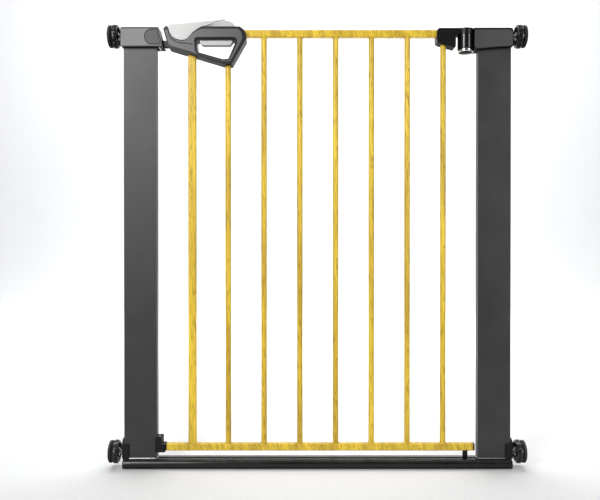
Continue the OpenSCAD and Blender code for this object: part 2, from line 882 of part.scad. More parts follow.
// A ribbed hand wheel, hollow on the side towards the post, with a hub and spokes
module hand_wheel(side, z) {
    rib_r = 2.2;
    rim_r = wheel_d / 2 - 1.2;
    hub_r = rod_r + 3.5;
    dish_r = wheel_d / 2 - 5;
    dish = wheel_w * 0.65;
    spoke_w = 3;
    color(black) on_side(side) difference() {
        union() {
            difference() {
                rod_x(wheel_in, wheel_out, z, rim_r);
                rod_x(wheel_in - eps, wheel_in + dish, z, dish_r);
            }
            rod_x(wheel_in, wheel_out, z, hub_r);
            for (i = [0 : wheel_ribs - 1])
                translate([0, 0, z]) rotate([i * 360 / wheel_ribs, 0, 0])
                    rod_x(wheel_in, wheel_out, 0, rib_r, wheel_d / 2 - rib_r);
            for (i = [0 : 5])
                translate([0, 0, z]) rotate([i * 60, 0, 0])
                    block([wheel_in + 3, -spoke_w / 2, 0], [wheel_in + dish, spoke_w / 2, dish_r + eps]);
        }
        rod_x(wheel_in - eps, wheel_out + eps, z, rod_r);
    }
}

// A rubber wall pad that the rod's end turns in
module wall_pad(side, z) {
    edge = 1.2;
    color(black) on_side(side) difference() {
        union() {
            rod_x(pad_in, pad_in + pad_t - edge, z, pad_d / 2);
            rod_x(pad_in, pad_in + pad_t, z, pad_d / 2 - edge);
        }
        rod_x(pad_in - eps, rod_end + 0.2, z, rod_r + 0.1);
    }
}

module pad_top_left() { wall_pad(-1, top_spindle_z); }

module pad_top_right() { wall_pad(1, top_spindle_z); }

module pad_low_left() { wall_pad(-1, low_spindle_z); }

module pad_low_right() { wall_pad(1, low_spindle_z); }

module wheel_top_left() { hand_wheel(-1, top_spindle_z); }

module wheel_top_right() { hand_wheel(1, top_spindle_z); }

module wheel_low_left() { hand_wheel(-1, low_spindle_z); }

module wheel_low_right() { hand_wheel(1, low_spindle_z); }

module rod_top_left() { spindle_rod(-1, top_spindle_z); }

module rod_top_right() { spindle_rod(1, top_spindle_z); }

module rod_low_left() { spindle_rod(-1, low_spindle_z); }

module rod_low_right() { spindle_rod(1, low_spindle_z); }

left_post();
right_post();
threshold_tubes();
threshold_plugs();
latch_housing_front();
latch_housing_rear();
latch_strike();
hinge_housing_front();
hinge_housing_rear();
housing_screws();
hinge_barrel();
barrel_cap();
hinge_bush();
closing_spring();
spring_cup();
left_collar();
right_collar();
gate_keeper();
keeper_rivets();
pivot_bush();
spindle_nuts();
top_rail();
bottom_rail();
bar_1();
bar_2();
bar_3();
bar_4();
bar_5();
bar_6();
bar_7();
bar_8();
rail_end_cap();
rail_end_bolt();
lower_pivot();
hinge_bracket();
hinge_pin();
hinge_nut();
handle_front();
handle_rear();
handle_top_cover();
handle_screws();
trigger();
latch_bolt();
thumb_button();
trigger_spring();
button_spring();
pad_top_left();
pad_top_right();
pad_low_left();
pad_low_right();
wheel_top_left();
wheel_top_right();
wheel_low_left();
wheel_low_right();
rod_top_left();
rod_top_right();
rod_low_left();
rod_low_right();
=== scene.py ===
"""Finish for a doorway safety gate: rounded parts, welds, threads, screws and materials."""

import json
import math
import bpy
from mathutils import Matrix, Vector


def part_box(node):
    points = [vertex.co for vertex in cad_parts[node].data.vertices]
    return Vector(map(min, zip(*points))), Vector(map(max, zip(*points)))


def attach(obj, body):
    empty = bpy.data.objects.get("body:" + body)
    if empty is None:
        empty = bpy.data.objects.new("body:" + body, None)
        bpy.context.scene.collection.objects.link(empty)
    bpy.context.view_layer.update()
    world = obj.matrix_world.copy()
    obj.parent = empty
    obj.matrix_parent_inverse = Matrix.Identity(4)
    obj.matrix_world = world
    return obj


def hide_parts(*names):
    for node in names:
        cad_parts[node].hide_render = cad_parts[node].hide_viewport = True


bl_info = {
    "name": "Safety Gate Finish",
    "version": (1, 0, 0),
    "blender": (4, 5, 0),
    "location": "View3D > Sidebar > Gate",
    "description": "Rounded parts, welds, threads and materials for a doorway safety gate",
    "category": "Object",
}

import bmesh
import bpy
from bpy.props import FloatProperty, FloatVectorProperty, IntProperty, PointerProperty
from mathutils import Matrix, Vector

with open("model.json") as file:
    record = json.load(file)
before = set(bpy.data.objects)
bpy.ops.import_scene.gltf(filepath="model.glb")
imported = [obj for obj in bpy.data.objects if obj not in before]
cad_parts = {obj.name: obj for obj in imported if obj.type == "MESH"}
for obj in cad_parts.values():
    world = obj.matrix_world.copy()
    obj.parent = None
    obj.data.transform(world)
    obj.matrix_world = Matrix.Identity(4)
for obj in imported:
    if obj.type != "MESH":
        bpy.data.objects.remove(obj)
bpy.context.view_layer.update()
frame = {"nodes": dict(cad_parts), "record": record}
NODES = frame["nodes"]
BODY_OF = {
    node: body
    for body, nodes in frame["record"]["behaviour"]["bodies"].items()
    for node in nodes
}
SLOT_OF = {part["node"]: part["material_slot"] for part in frame["record"]["subparts"]}
CORNERS = ("top_left", "top_right", "low_left", "low_right")
BARS = ["bar_%d" % i for i in range(1, 9)]
MM = 0.001
FULL_TURN = 6.2832


def centre(node):
    """The middle of a node's box."""
    low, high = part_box(node)
    return (Vector(low) + Vector(high)) / 2


HINGE = centre("hinge_pin")


# ---- Settings ----

def length(name, description, default, low=0.0, high=2.0):
    """A length that a user may change."""
    return FloatProperty(
        name=name, description=description, default=default, min=low, max=high,
        subtype="DISTANCE", unit="LENGTH", precision=5,
    )


def colour(name, description, default):
    """A linear colour that a user may change."""
    return FloatVectorProperty(
        name=name, description=description, default=default, size=3,
        min=0.0, max=1.0, subtype="COLOR",
    )


class GateShapeSettings(bpy.types.PropertyGroup):
    """Sizes of the roundings, welds and threads, and the number of wheel ribs."""

    tube_round: length("Tube rounding", "Radius of the edges of the post tubes", 2.2 * MM)
    housing_round: length("Housing rounding", "Radius of the edges of the housings", 1.6 * MM)
    handle_round: length("Handle rounding", "Radius of the edges of the handle shells", 2.0 * MM)
    weld_bead: length("Weld bead", "Radius of the weld bead round a bar's end", 1.2 * MM)
    thread_pitch: length("Thread pitch", "Distance between two turns of a spindle", 2.0 * MM)
    thread_depth: length("Thread depth", "Depth of the spindle thread", 0.7 * MM)
    wheel_ribs: IntProperty(
        name="Hand wheel ribs", description="Number of ribs round each hand wheel",
        default=14, min=6, max=24,
    )


class GateColourSettings(bpy.types.PropertyGroup):
    """Colours of the finishes, in linear light."""

    wood_light: colour("Wood light", "Light ground of the wood print", (0.83, 0.59, 0.052))
    wood_mid: colour("Wood middle", "Middle tone of the wood print", (0.58, 0.385, 0.036))
    wood_dark: colour("Wood dark", "Grain lines of the wood print", (0.25, 0.125, 0.006))
    post: colour("Post", "Powder coat of the posts", (0.030, 0.030, 0.031))
    gloss: colour("Black steel", "Gloss coat of the threshold and hinge", (0.004, 0.004, 0.004))
    housing: colour("Housing", "Moulded plastic of the housings", (0.042, 0.042, 0.043))
    handle: colour("Handle", "Moulded plastic of the handle and fittings", (0.005, 0.005, 0.005))
    inlay: colour("Inlay", "Light plastic of the cover, trigger and button", (0.47, 0.47, 0.46))
    steel: colour("Zinc", "Zinc plate of rods and screws", (0.58, 0.59, 0.60))
    rubber: colour("Rubber", "Rubber of the wall pads", (0.016, 0.016, 0.016))


class GateStageSettings(bpy.types.PropertyGroup):
    """The camera's place and lens, and the size of the floor."""

    camera_distance: length("Camera distance", "From the gate's mid-plane", 1.2, 0.3, 5.0)
    camera_height: length("Camera height", "Height of the camera above the floor", 0.3914)
    camera_pitch: FloatProperty(
        name="Camera pitch", description="How far the camera looks down",
        default=math.radians(0.36), min=-0.5, max=0.5, subtype="ANGLE",
    )
    camera_side: length("Camera side", "Camera's offset to the latch side", 0.0304)
    focal_length: FloatProperty(
        name="Focal length", description="Focal length on a 36 mm sensor",
        default=40.75, min=10.0, max=200.0, unit="CAMERA",
    )
    floor_size: length("Floor size", "Half the width of the floor", 6.0, 1.0, 20.0)


# ---- Shader building ----

class Graph:
    """A short way to add and join nodes in one node tree."""

    def __init__(self, tree):
        self.tree = tree

    def add(self, kind, inputs=None, **settings):
        """Adds a node with its settings and its inputs, which are values or other sockets."""
        node = self.tree.nodes.new(kind)
        for key, value in settings.items():
            setattr(node, key, value)
        self.feed(node, inputs or {})
        return node

    def feed(self, node, inputs):
        """Links or sets a node's inputs."""
        for key, value in inputs.items():
            self.put(node.inputs[key], value)

    def out(self, kind, inputs=None, **settings):
        """Adds a node and returns its first output."""
        return self.add(kind, inputs, **settings).outputs[0]

    def put(self, socket, value):
        """Links a socket to another one, or gives it a plain value."""
        if isinstance(value, bpy.types.NodeSocket):
            self.tree.links.new(value, socket)
        else:
            socket.default_value = value

    def maths(self, operation, a, b=0.0, c=0.0):
        """One Math node, as a socket."""
        return self.out("ShaderNodeMath", {0: a, 1: b, 2: c}, operation=operation)

    def ramp(self, value, stops):
        """A colour ramp through (place, colour) stops, as a socket."""
        node = self.add("ShaderNodeValToRGB", {"Fac": value})
        elements = node.color_ramp.elements
        while len(elements) < len(stops):
            elements.new(0.5)
        for element, (place, shade) in zip(elements, stops):
            element.position = place
            element.color = (*shade, 1.0) if len(shade) == 3 else shade
        return node.outputs["Color"]

    def mix(self, factor, a, b):
        """A colour mix, as a socket."""
        return self.add("ShaderNodeMix", {0: factor, 6: a, 7: b}, data_type="RGBA").outputs[2]


def four(rgb):
    """A colour with its alpha."""
    return (rgb[0], rgb[1], rgb[2], 1.0)


def grey(value):
    """A grey of that value."""
    return (value, value, value)


def group_tree(name, inputs, outputs):
    """A shader group with (name, kind, default) inputs and (name, kind) outputs."""
    tree = bpy.data.node_groups.new(name, "ShaderNodeTree")
    for label, kind, default in inputs:
        socket = tree.interface.new_socket(
            label, in_out="INPUT", socket_type="NodeSocket" + kind)
        if default is not None:
            socket.default_value = default
    for label, kind in outputs:
        tree.interface.new_socket(label, in_out="OUTPUT", socket_type="NodeSocket" + kind)
    return tree


def wood_print_group():
    """Wood print: drawn-out grain lines, with fine fibres and slow tone changes."""
    tree = group_tree(
        "wood print",
        [("Vector", "Vector", None), ("Stretch", "Vector", (1.0, 1.0, 0.1)),
         ("Lines", "Float", 9.0), ("Light", "Color", (0.8, 0.5, 0.1, 1.0)),
         ("Middle", "Color", (0.5, 0.3, 0.05, 1.0)),
         ("Dark", "Color", (0.2, 0.1, 0.01, 1.0))],
        [("Color", "Color"), ("Roughness", "Float"),
         ("Height", "Float")],
    )
    g = Graph(tree)
    source = g.add("NodeGroupInput").outputs
    place = g.out(
        "ShaderNodeVectorMath", {0: source["Vector"], 1: source["Stretch"]}, operation="MULTIPLY"
    )
    figure = g.out(
        "ShaderNodeTexNoise",
        {"Vector": place, "Scale": 62.0, "Detail": 2.0, "Roughness": 0.45, "Distortion": 0.35},
    )
    phase = g.maths("MULTIPLY", g.maths("MULTIPLY", figure, source["Lines"]), FULL_TURN)
    waves = g.maths("SINE", phase)
    line = g.maths("POWER", g.maths("MULTIPLY_ADD", waves, 0.5, 0.5), 5.0)
    fibre = g.out(
        "ShaderNodeTexNoise", {"Vector": place, "Scale": 900.0, "Detail": 3.0, "Roughness": 0.7}
    )
    broken = g.maths("MULTIPLY", line, g.ramp(fibre, [(0.30, grey(0.35)), (0.62, grey(1.0))]))
    tone = g.out(
        "ShaderNodeTexNoise", {"Vector": place, "Scale": 28.0, "Detail": 1.0}
    )
    patches = g.ramp(tone, [(0.38, grey(0.0)), (0.66, grey(1.0))])
    ground = g.mix(patches, source["Light"], source["Middle"])
    speck = g.ramp(fibre, [(0.50, grey(0.0)), (0.78, grey(0.75))])
    fibred = g.mix(speck, ground, source["Middle"])
    printed = g.mix(g.maths("MULTIPLY", broken, 0.85), fibred, source["Dark"])
    pores = g.maths("MULTIPLY", broken, -0.6)
    g.add("NodeGroupOutput", {
        "Color": printed, "Roughness": g.maths("MULTIPLY_ADD", broken, 0.12, 0.34),
        "Height": g.maths("MULTIPLY_ADD", fibre, 0.4, pores)})
    return tree


def fine_grain_group():
    """Fine grain of a surface: a bump height, and masks for tone, dust and painted shade on
    undersides.
    """
    tree = group_tree(
        "fine grain",
        [("Vector", "Vector", None), ("Grain Scale", "Float", 1800.0),
         ("Blotch Scale", "Float", 22.0)],
        [("Height", "Float"), ("Blotch", "Float"), ("Dust", "Float"),
         ("Under", "Float")],
    )
    g = Graph(tree)
    source = g.add("NodeGroupInput").outputs
    grain = g.out(
        "ShaderNodeTexNoise",
        {"Vector": source["Vector"], "Scale": source["Grain Scale"], "Detail": 3.0,
         "Roughness": 0.6},
    )
    blotch = g.out(
        "ShaderNodeTexNoise",
        {"Vector": source["Vector"], "Scale": source["Blotch Scale"], "Detail": 4.0},
    )
    normal = g.add("ShaderNodeNewGeometry").outputs["Normal"]
    upward = g.add("ShaderNodeSeparateXYZ", {0: normal}).outputs["Z"]
    settled = g.maths("MULTIPLY", g.maths("MAXIMUM", upward, 0.0), blotch)
    # Painted shade: a mask of the faces that look down, whose shine the finishes take away so
    # undersides render dark.
    under = g.maths("MAXIMUM", g.maths("MULTIPLY", upward, -1.0), 0.0)
    g.add("NodeGroupOutput", {
        "Height": grain, "Blotch": blotch, "Dust": settled, "Under": under})
    return tree


def shared_group(name, build):
    """A node group that is built once."""
    return bpy.data.node_groups.get(name) or build()


def new_material(name, metallic=0.0, coat=0.0, coat_roughness=0.1):
    """A node material with its constants on the Principled shader's own sockets."""
    material = bpy.data.materials.new(name)
    material.use_nodes = True
    shader = material.node_tree.nodes["Principled BSDF"]
    g = Graph(material.node_tree)
    g.feed(shader, {
        "Metallic": metallic, "Coat Weight": coat, "Coat Roughness": coat_roughness})
    return material, g, shader


def object_coordinates(g):
    """The Object coordinates of the piece, as a socket."""
    return g.add("ShaderNodeTexCoord").outputs["Object"]


def bump(g, shader, height, distance, strength=1.0):
    """Feeds a height to the shader's normal."""
    node = g.add("ShaderNodeBump", {"Height": height, "Distance": distance, "Strength": strength})
    g.put(shader.inputs["Normal"], node.outputs["Normal"])


def wood_material(name, turn, stretch, lines):
    """Wood-print film: turn tilts the grain's direction, stretch draws it out along Z."""
    colours = bpy.context.scene.gate_colours
    material, g, shader = new_material(name, coat=0.08, coat_roughness=0.22)
    shader.inputs["Specular IOR Level"].default_value = 0.30
    mapping = g.add("ShaderNodeMapping", {"Vector": object_coordinates(g), "Rotation": turn})
    group = g.add("ShaderNodeGroup", {
        "Vector": mapping.outputs[0], "Stretch": stretch, "Lines": lines,
        "Light": four(colours.wood_light), "Middle": four(colours.wood_mid),
        "Dark": four(colours.wood_dark),
    }, node_tree=shared_group("wood print", wood_print_group))
    g.feed(shader, {
        "Base Color": group.outputs["Color"], "Roughness": group.outputs["Roughness"]})
    bump(g, shader, group.outputs["Height"], 0.00012, 0.5)
    return material


DUST_COLOUR = (0.5, 0.49, 0.47, 1.0)
# Painted shade: surfaces facing down lose most of their shine, so undersides render dark.
UNDER_SHADE_LOSS = 0.95  # the part of the shine that a surface facing down loses


def grained_material(name, rgb, roughness, grain_scale, grain_depth, variation=0.12, dust=0.05,
                     specular=0.5, **shader_values):
    """A finish in one colour: fine grain, slow tone changes, a little dust, and painted shade that
    takes the shine off undersides.
    """
    material, g, shader = new_material(name, **shader_values)
    masks = g.add("ShaderNodeGroup", {
        "Vector": object_coordinates(g), "Grain Scale": grain_scale,
    }, node_tree=shared_group("fine grain", fine_grain_group)).outputs
    low = [c * (1.0 - variation) for c in rgb]
    high = [min(1.0, c * (1.0 + variation)) for c in rgb]
    tone = g.ramp(masks["Blotch"], [(0.3, low), (0.7, high)])
    rough = g.maths("MULTIPLY_ADD", masks["Blotch"], 0.14, roughness - 0.07)
    dull = g.maths("MULTIPLY", masks["Dust"], 0.1)

    # Painted shade: takes the shine and coat off faces that look down.
    def less_in_painted_shade(full):
        return g.maths("MULTIPLY_ADD", masks["Under"], -UNDER_SHADE_LOSS * full, full)

    g.feed(shader, {
        "Base Color": g.mix(g.maths("MULTIPLY", masks["Dust"], dust), tone, DUST_COLOUR),
        "Roughness": g.maths("ADD", rough, dull), "Specular IOR Level": less_in_painted_shade(specular)})
    coat = shader.inputs["Coat Weight"].default_value
    if coat:
        g.put(shader.inputs["Coat Weight"], less_in_painted_shade(coat))
    bump(g, shader, masks["Height"], grain_depth)
    return material


def recipes(colours):
    """How each finish is made: its function, then that function's values."""
    def grained(rgb, roughness, grain_scale, grain_depth, **values):
        return lambda name: grained_material(
            name, rgb, roughness, grain_scale, grain_depth, **values)

    def wood(turn, stretch, lines):
        return lambda name: wood_material(name, turn, stretch, lines)

    return {
        "wood_bar": wood((0.05, 0.04, 0.0), (2.8, 2.8, 0.10), 7.0),
        "wood_rail": wood((0.0, 0.22, 0.0), (3.4, 1.2, 0.42), 6.0),
        "charcoal_steel": grained(colours.post, 0.42, 1500.0, 0.00003, specular=0.4),
        "black_steel": grained(colours.gloss, 0.22, 900.0, 0.00001, coat=0.4,
                               coat_roughness=0.06, specular=0.25),
        "grey_plastic": grained(colours.housing, 0.40, 2600.0, 0.00004, specular=0.6),
        "matt_plastic": grained(colours.housing, 0.50, 2600.0, 0.00004, specular=0.5),
        "black_plastic": grained(colours.handle, 0.34, 2200.0, 0.00002, specular=0.22),
        "wheel_plastic": grained(colours.handle, 0.20, 2000.0, 0.00001),
        "light_plastic": grained(colours.inlay, 0.36, 2400.0, 0.00002, variation=0.03,
                                 dust=0.03, coat=0.15),
        "bright_steel": grained(colours.steel, 0.28, 1200.0, 0.00002, variation=0.10,
                                metallic=1.0),
        "cap_chrome": grained((0.76, 0.77, 0.78), 0.12, 700.0, 0.000004, variation=0.04,
                              dust=0.02, metallic=1.0),
        "pad_rubber": grained(colours.rubber, 0.72, 1400.0, 0.00007, dust=0.12),
    }


def finishes():
    """Every material of the gate by name, built once."""
    for name, build in recipes(bpy.context.scene.gate_colours).items():
        old = bpy.data.materials.get(name)
        if old is None or not old.get("gate_finish"):
            if old:
                old.name = name + "_plain"
            build(name)["gate_finish"] = True
    return bpy.data.materials


def finish_for(node):
    """The material that a CAD node wears."""
    slot = SLOT_OF[node]
    if slot == "wood_print":
        slot = "wood_rail" if node.endswith("rail") else "wood_bar"
    elif node.startswith("wheel"):
        slot = "wheel_plastic"
    return finishes()[slot]


# ---- Mesh building ----

def new_piece(name, mesh):
    """An object at the origin that holds the mesh."""
    piece = bpy.data.objects.new(name, mesh)
    bpy.context.scene.collection.objects.link(piece)
    return piece


def smooth_faces(bm):
    """Shades every face smooth."""
    for face in bm.faces:
        face.smooth = True


def mesh_from(bm, name):
    """A mesh from a finished bmesh."""
    mesh = bpy.data.meshes.new(name)
    bm.to_mesh(mesh)
    bm.free()
    return mesh


def evaluated_mesh(holder):
    """A plain mesh of an object as its modifiers leave it."""
    depsgraph = bpy.context.evaluated_depsgraph_get()
    return bpy.data.meshes.new_from_object(holder.evaluated_get(depsgraph))


def repaint(nodes):
    """CAD nodes shown as they are wear their finish."""
    for node in nodes:
        mesh = NODES[node].data
        mesh.materials.clear()
        mesh.materials.append(finish_for(node))


def side_of(name):
    """-1 for what is at the left or in front, 1 for what is at the right or behind."""
    return -1.0 if "left" in name or "front" in name else 1.0


def outer_y(node):
    """The depth of a shell's outer face."""
    low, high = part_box(node)
    return side_of(node) * max(abs(low[1]), abs(high[1]))


def dress(piece, node, slot=None):
    """The piece rides with a CAD node's body and wears that node's finish, or another slot's."""
    piece.data.materials.clear()
    piece.data.materials.append(finishes()[slot] if slot else finish_for(node))
    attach(piece, BODY_OF[node])


def stand_for(piece, node):
    """The piece takes a CAD node's place."""
    dress(piece, node)
    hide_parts(node)


def merged_copy(node):
    """A CAD node's shape as a clean bmesh with its flat faces whole."""
    bm = bmesh.new()
    bm.from_mesh(NODES[node].data)
    bmesh.ops.remove_doubles(bm, verts=bm.verts, dist=0.002 * MM)
    bmesh.ops.dissolve_limit(bm, angle_limit=math.radians(0.8), verts=bm.verts, edges=bm.edges)
    return bm


def round_edges(piece, radius, segments=3):
    """Rounds the edges that carry a bevel weight and smooths the faces between them."""
    bevel = piece.modifiers.new("rounding", "BEVEL")
    bevel.width = radius
    bevel.segments = segments
    bevel.limit_method = "WEIGHT"
    bevel.use_clamp_overlap = True
    bevel.miter_outer = "MITER_ARC"
    normals = piece.modifiers.new("normals", "WEIGHTED_NORMAL")
    normals.keep_sharp = True


def always(_):
    """Every sharp edge is rounded in full."""
    return 1.0


def seam_weight(edge):
    """Edges on the mid-plane, where two shells meet, are rounded only a little."""
    on_seam = all(abs(v.co.y) < 0.05 * MM for v in edge.verts)
    return 0.12 if on_seam else 1.0


def rounded_copy(node, radius, segments=3, weigh=always, sharp=38.0):
    """A CAD node's shape with its sharp edges rounded, in the node's place."""
    bm = merged_copy(node)
    weight = bm.edges.layers.float.new("bevel_weight_edge")
    for edge in bm.edges:
        if len(edge.link_faces) == 2 and edge.calc_face_angle(0.0) > math.radians(sharp):
            edge[weight] = weigh(edge)
        edge.smooth = True
    smooth_faces(bm)
    piece = new_piece(node + "_finish", mesh_from(bm, node + "_finish"))
    round_edges(piece, radius, segments)
    stand_for(piece, node)
    return piece


def rounded_copies(rows):
    """Rounded copies from (node, radius in millimetres, segments) rows."""
    for node, radius, segments in rows:
        rounded_copy(node, radius * MM, segments)


def lathe(profile, steps, axis_x=0.0, z=0.0):
    """A turned shape about an axis along X, through (x, radius) points given from the left end."""
    bm = bmesh.new()
    ring = [bm.verts.new((x, 0.0, r)) for x, r in profile]
    edges = [bm.edges.new(pair) for pair in zip(ring, ring[1:])]
    bmesh.ops.spin(
        bm, geom=ring + edges, cent=(0, 0, 0), axis=(1, 0, 0), angle=math.tau, steps=steps,
        use_merge=True,
    )
    bmesh.ops.remove_doubles(bm, verts=bm.verts, dist=0.001 * MM)
    bmesh.ops.recalc_face_normals(bm, faces=bm.faces)
    bmesh.ops.translate(bm, verts=bm.verts, vec=(axis_x, 0.0, z))
    smooth_faces(bm)
    return bm


def plate_bmesh(outline, y_front, y_back):
    """A flat plate in the X-Z plane through (x, z) points, between two depths."""
    bm = bmesh.new()
    front = bm.faces.new([bm.verts.new((x, y_front, z)) for x, z in outline])
    grown = bmesh.ops.extrude_face_region(bm, geom=[front])["geom"]
    moved = [v for v in grown if isinstance(v, bmesh.types.BMVert)]
    bmesh.ops.translate(bm, verts=moved, vec=(0.0, y_back - y_front, 0.0))
    bmesh.ops.recalc_face_normals(bm, faces=bm.faces)
    return bm


def arc(cx, cz, radius, start, end, steps=6):
    """Points along an arc, its angles in degrees."""
    return [
        (cx + radius * math.cos(math.radians(start + (end - start) * i / steps)),
         cz + radius * math.sin(math.radians(start + (end - start) * i / steps)))
        for i in range(steps + 1)
    ]


# ---- Geometry Nodes ----

def geometry_tree(name, inputs):
    """A Geometry Nodes tree with a geometry in and out and (name, socket kind, default) inputs."""
    tree = bpy.data.node_groups.new(name, "GeometryNodeTree")
    tree.interface.new_socket("Geometry", in_out="INPUT", socket_type="NodeSocketGeometry")
    for label, kind, default in inputs:
        socket = tree.interface.new_socket(
            label, in_out="INPUT", socket_type="NodeSocket" + kind)
        if default is not None:
            socket.default_value = default
    tree.interface.new_socket("Geometry", in_out="OUTPUT", socket_type="NodeSocketGeometry")
    return tree, Graph(tree)


def close_tree(g, geometry, material):
    """Ends a tree: smooth, realised, with its material."""
    smooth = g.out("GeometryNodeSetShadeSmooth", {"Geometry": geometry})
    real = g.out("GeometryNodeRealizeInstances", {"Geometry": smooth})
    painted = g.out("GeometryNodeSetMaterial", {"Geometry": real, "Material": material})
    g.add("NodeGroupOutput", {0: painted})


def bead_tree():
    """Weld beads: a slightly uneven bead round a rounded outline, laid flat at every point."""
    tree, g = geometry_tree("weld beads", [
        ("Width", "Float", 0.01), ("Depth", "Float", 0.01),
        ("Corner", "Float", 0.005), ("Bead", "Float", 0.0006),
        ("Unevenness", "Float", 0.0002), ("Seed", "Int", 3),
        ("Material", "Material", None),
    ])
    source = g.add("NodeGroupInput").outputs
    outline = g.out("GeometryNodeCurvePrimitiveQuadrilateral",
                    {"Width": source["Width"], "Height": source["Depth"]})
    fillet = g.out("GeometryNodeFilletCurve",
                   {"Curve": outline, "Radius": source["Corner"], "Count": 8},
                   mode="POLY")
    even = g.out("GeometryNodeResampleCurve", {"Curve": fillet, "Count": 72})
    profile = g.out("GeometryNodeCurvePrimitiveCircle",
                    {"Resolution": 8, "Radius": source["Bead"]})
    bead = g.out("GeometryNodeCurveToMesh", {"Curve": even, "Profile Curve": profile})
    place = g.out("GeometryNodeInputPosition")
    noise = g.add("ShaderNodeTexNoise", {"Vector": place, "W": source["Seed"], "Scale": 700.0},
                  noise_dimensions="4D")
    centred = g.out("ShaderNodeVectorMath", {0: noise.outputs["Color"], 1: (0.5, 0.5, 0.5)},
                    operation="SUBTRACT")
    shift = g.out("ShaderNodeVectorMath", {0: centred, "Scale": source["Unevenness"]},
                  operation="SCALE")
    uneven = g.out("GeometryNodeSetPosition", {"Geometry": bead, "Offset": shift})
    laid = g.out("GeometryNodeInstanceOnPoints",
                 {"Points": source["Geometry"], "Instance": uneven})
    close_tree(g, laid, source["Material"])
    return tree


RIDGE_SHARE = 0.667  # a thread ridge's radius as a part of the thread's depth


def thread_tree():
    """A threaded rod along Z from the origin: a core with a helical ridge."""
    tree, g = geometry_tree("spindle thread", [
        ("Radius", "Float", 0.004), ("Length", "Float", 0.07),
        ("Pitch", "Float", 0.002), ("Depth", "Float", 0.0007),
        ("Material", "Material", None),
    ])
    source = g.add("NodeGroupInput").outputs
    core_r = g.maths("SUBTRACT", source["Radius"], source["Depth"])
    core = g.add("GeometryNodeMeshCylinder",
                 {"Vertices": 32, "Radius": core_r, "Depth": source["Length"]}).outputs["Mesh"]
    half = g.out("ShaderNodeCombineXYZ", {"Z": g.maths("MULTIPLY", source["Length"], 0.5)})
    lifted = g.out("GeometryNodeTransform", {"Geometry": core, "Translation": half})
    run = g.maths("SUBTRACT", source["Length"], source["Pitch"])
    turns = g.maths("DIVIDE", run, source["Pitch"])
    ridge_r = g.maths("MULTIPLY", source["Depth"], RIDGE_SHARE)
    path_r = g.maths("SUBTRACT", source["Radius"], ridge_r)
    spiral = g.out("GeometryNodeCurveSpiral", {
        "Resolution": 28, "Rotations": turns, "Start Radius": path_r, "End Radius": path_r,
        "Height": run, "Reverse": False})
    upright = g.out("GeometryNodeSetCurveNormal", {"Curve": spiral}, mode="Z_UP")
    profile = g.out("GeometryNodeCurvePrimitiveCircle",
                    {"Resolution": 6, "Radius": ridge_r})
    ridge = g.out("GeometryNodeCurveToMesh",
                  {"Curve": upright, "Profile Curve": profile, "Fill Caps": True})
    step = g.out("ShaderNodeCombineXYZ", {"Z": g.maths("MULTIPLY", source["Pitch"], 0.5)})
    raised = g.out("GeometryNodeTransform", {"Geometry": ridge, "Translation": step})
    both = g.add("GeometryNodeJoinGeometry")
    for part in (lifted, raised):
        g.put(both.inputs[0], part)
    close_tree(g, both.outputs[0], source["Material"])
    return tree


def ring_tree():
    """Copies of a shape set evenly round the X axis, joined to the geometry that comes in."""
    tree, g = geometry_tree("ring of ribs", [
        ("Rib", "Object", None), ("Count", "Int", 14),
        ("Spoke", "Object", None), ("Spokes", "Int", 6),
        ("Material", "Material", None),
    ])
    source = g.add("NodeGroupInput").outputs
    both = g.add("GeometryNodeJoinGeometry")
    g.put(both.inputs[0], source["Geometry"])
    for shape, count in (("Rib", "Count"), ("Spoke", "Spokes")):
        points = g.out("GeometryNodePoints", {"Count": source[count]})
        index = g.out("GeometryNodeInputIndex")
        angle = g.maths("DIVIDE", g.maths("MULTIPLY", index, math.tau), source[count])
        turn = g.out("ShaderNodeCombineXYZ", {"X": angle})
        object_in = g.add("GeometryNodeObjectInfo", {"Object": source[shape]}).outputs["Geometry"]
        placed = g.out("GeometryNodeInstanceOnPoints",
                       {"Points": points, "Instance": object_in, "Rotation": turn})
        g.put(both.inputs[0], placed)
    close_tree(g, both.outputs[0], source["Material"])
    return tree


def scatter_tree():
    """One copy of a shape at every point that comes in."""
    tree, g = geometry_tree("fasteners", [
        ("Shape", "Object", None), ("Material", "Material", None)])
    source = g.add("NodeGroupInput").outputs
    shape = g.add("GeometryNodeObjectInfo", {"Object": source["Shape"]}).outputs["Geometry"]
    placed = g.out("GeometryNodeInstanceOnPoints",
                   {"Points": source["Geometry"], "Instance": shape})
    close_tree(g, placed, source["Material"])
    return tree


TREES = {"weld beads": bead_tree, "spindle thread": thread_tree, "ring of ribs": ring_tree,
         "fasteners": scatter_tree}


def grow(mesh, tree_name, values, name):
    """Runs a Geometry Nodes tree on a mesh and returns the result as a plain mesh."""
    tree = bpy.data.node_groups.get(tree_name) or TREES[tree_name]()
    host = new_piece(name + "_host", mesh)
    modifier = host.modifiers.new(tree_name, "NODES")
    modifier.node_group = tree
    sockets = {item.name: item.identifier
               for item in tree.interface.items_tree if item.in_out == "INPUT"}
    for label, value in values.items():
        modifier[sockets[label]] = value
    result = evaluated_mesh(host)
    result.name = name
    host.modifiers.clear()
    bpy.data.objects.remove(host)
    return result


def points_mesh(points):
    """A mesh of loose points."""
    mesh = bpy.data.meshes.new("points")
    mesh.from_pydata([tuple(p) for p in points], [], [])
    return mesh


def helper(name, bm):
    """A shape for a Geometry Nodes input, removed once it has been used."""
    return new_piece(name, mesh_from(bm, name))


def discard(*helpers):
    """Removes the helper shapes."""
    for item in helpers:
        bpy.data.objects.remove(item)


# ---- Pieces ----

def shape():
    """The gate's shape settings."""
    return bpy.context.scene.gate_shape


class GateOperator:
    """What the gate's operators share: they run their make method and finish."""

    bl_options = {"REGISTER", "UNDO"}

    def execute(self, context):
        """Makes the pieces. A failure stops the script, because it raises."""
        self.make()
        return {"FINISHED"}


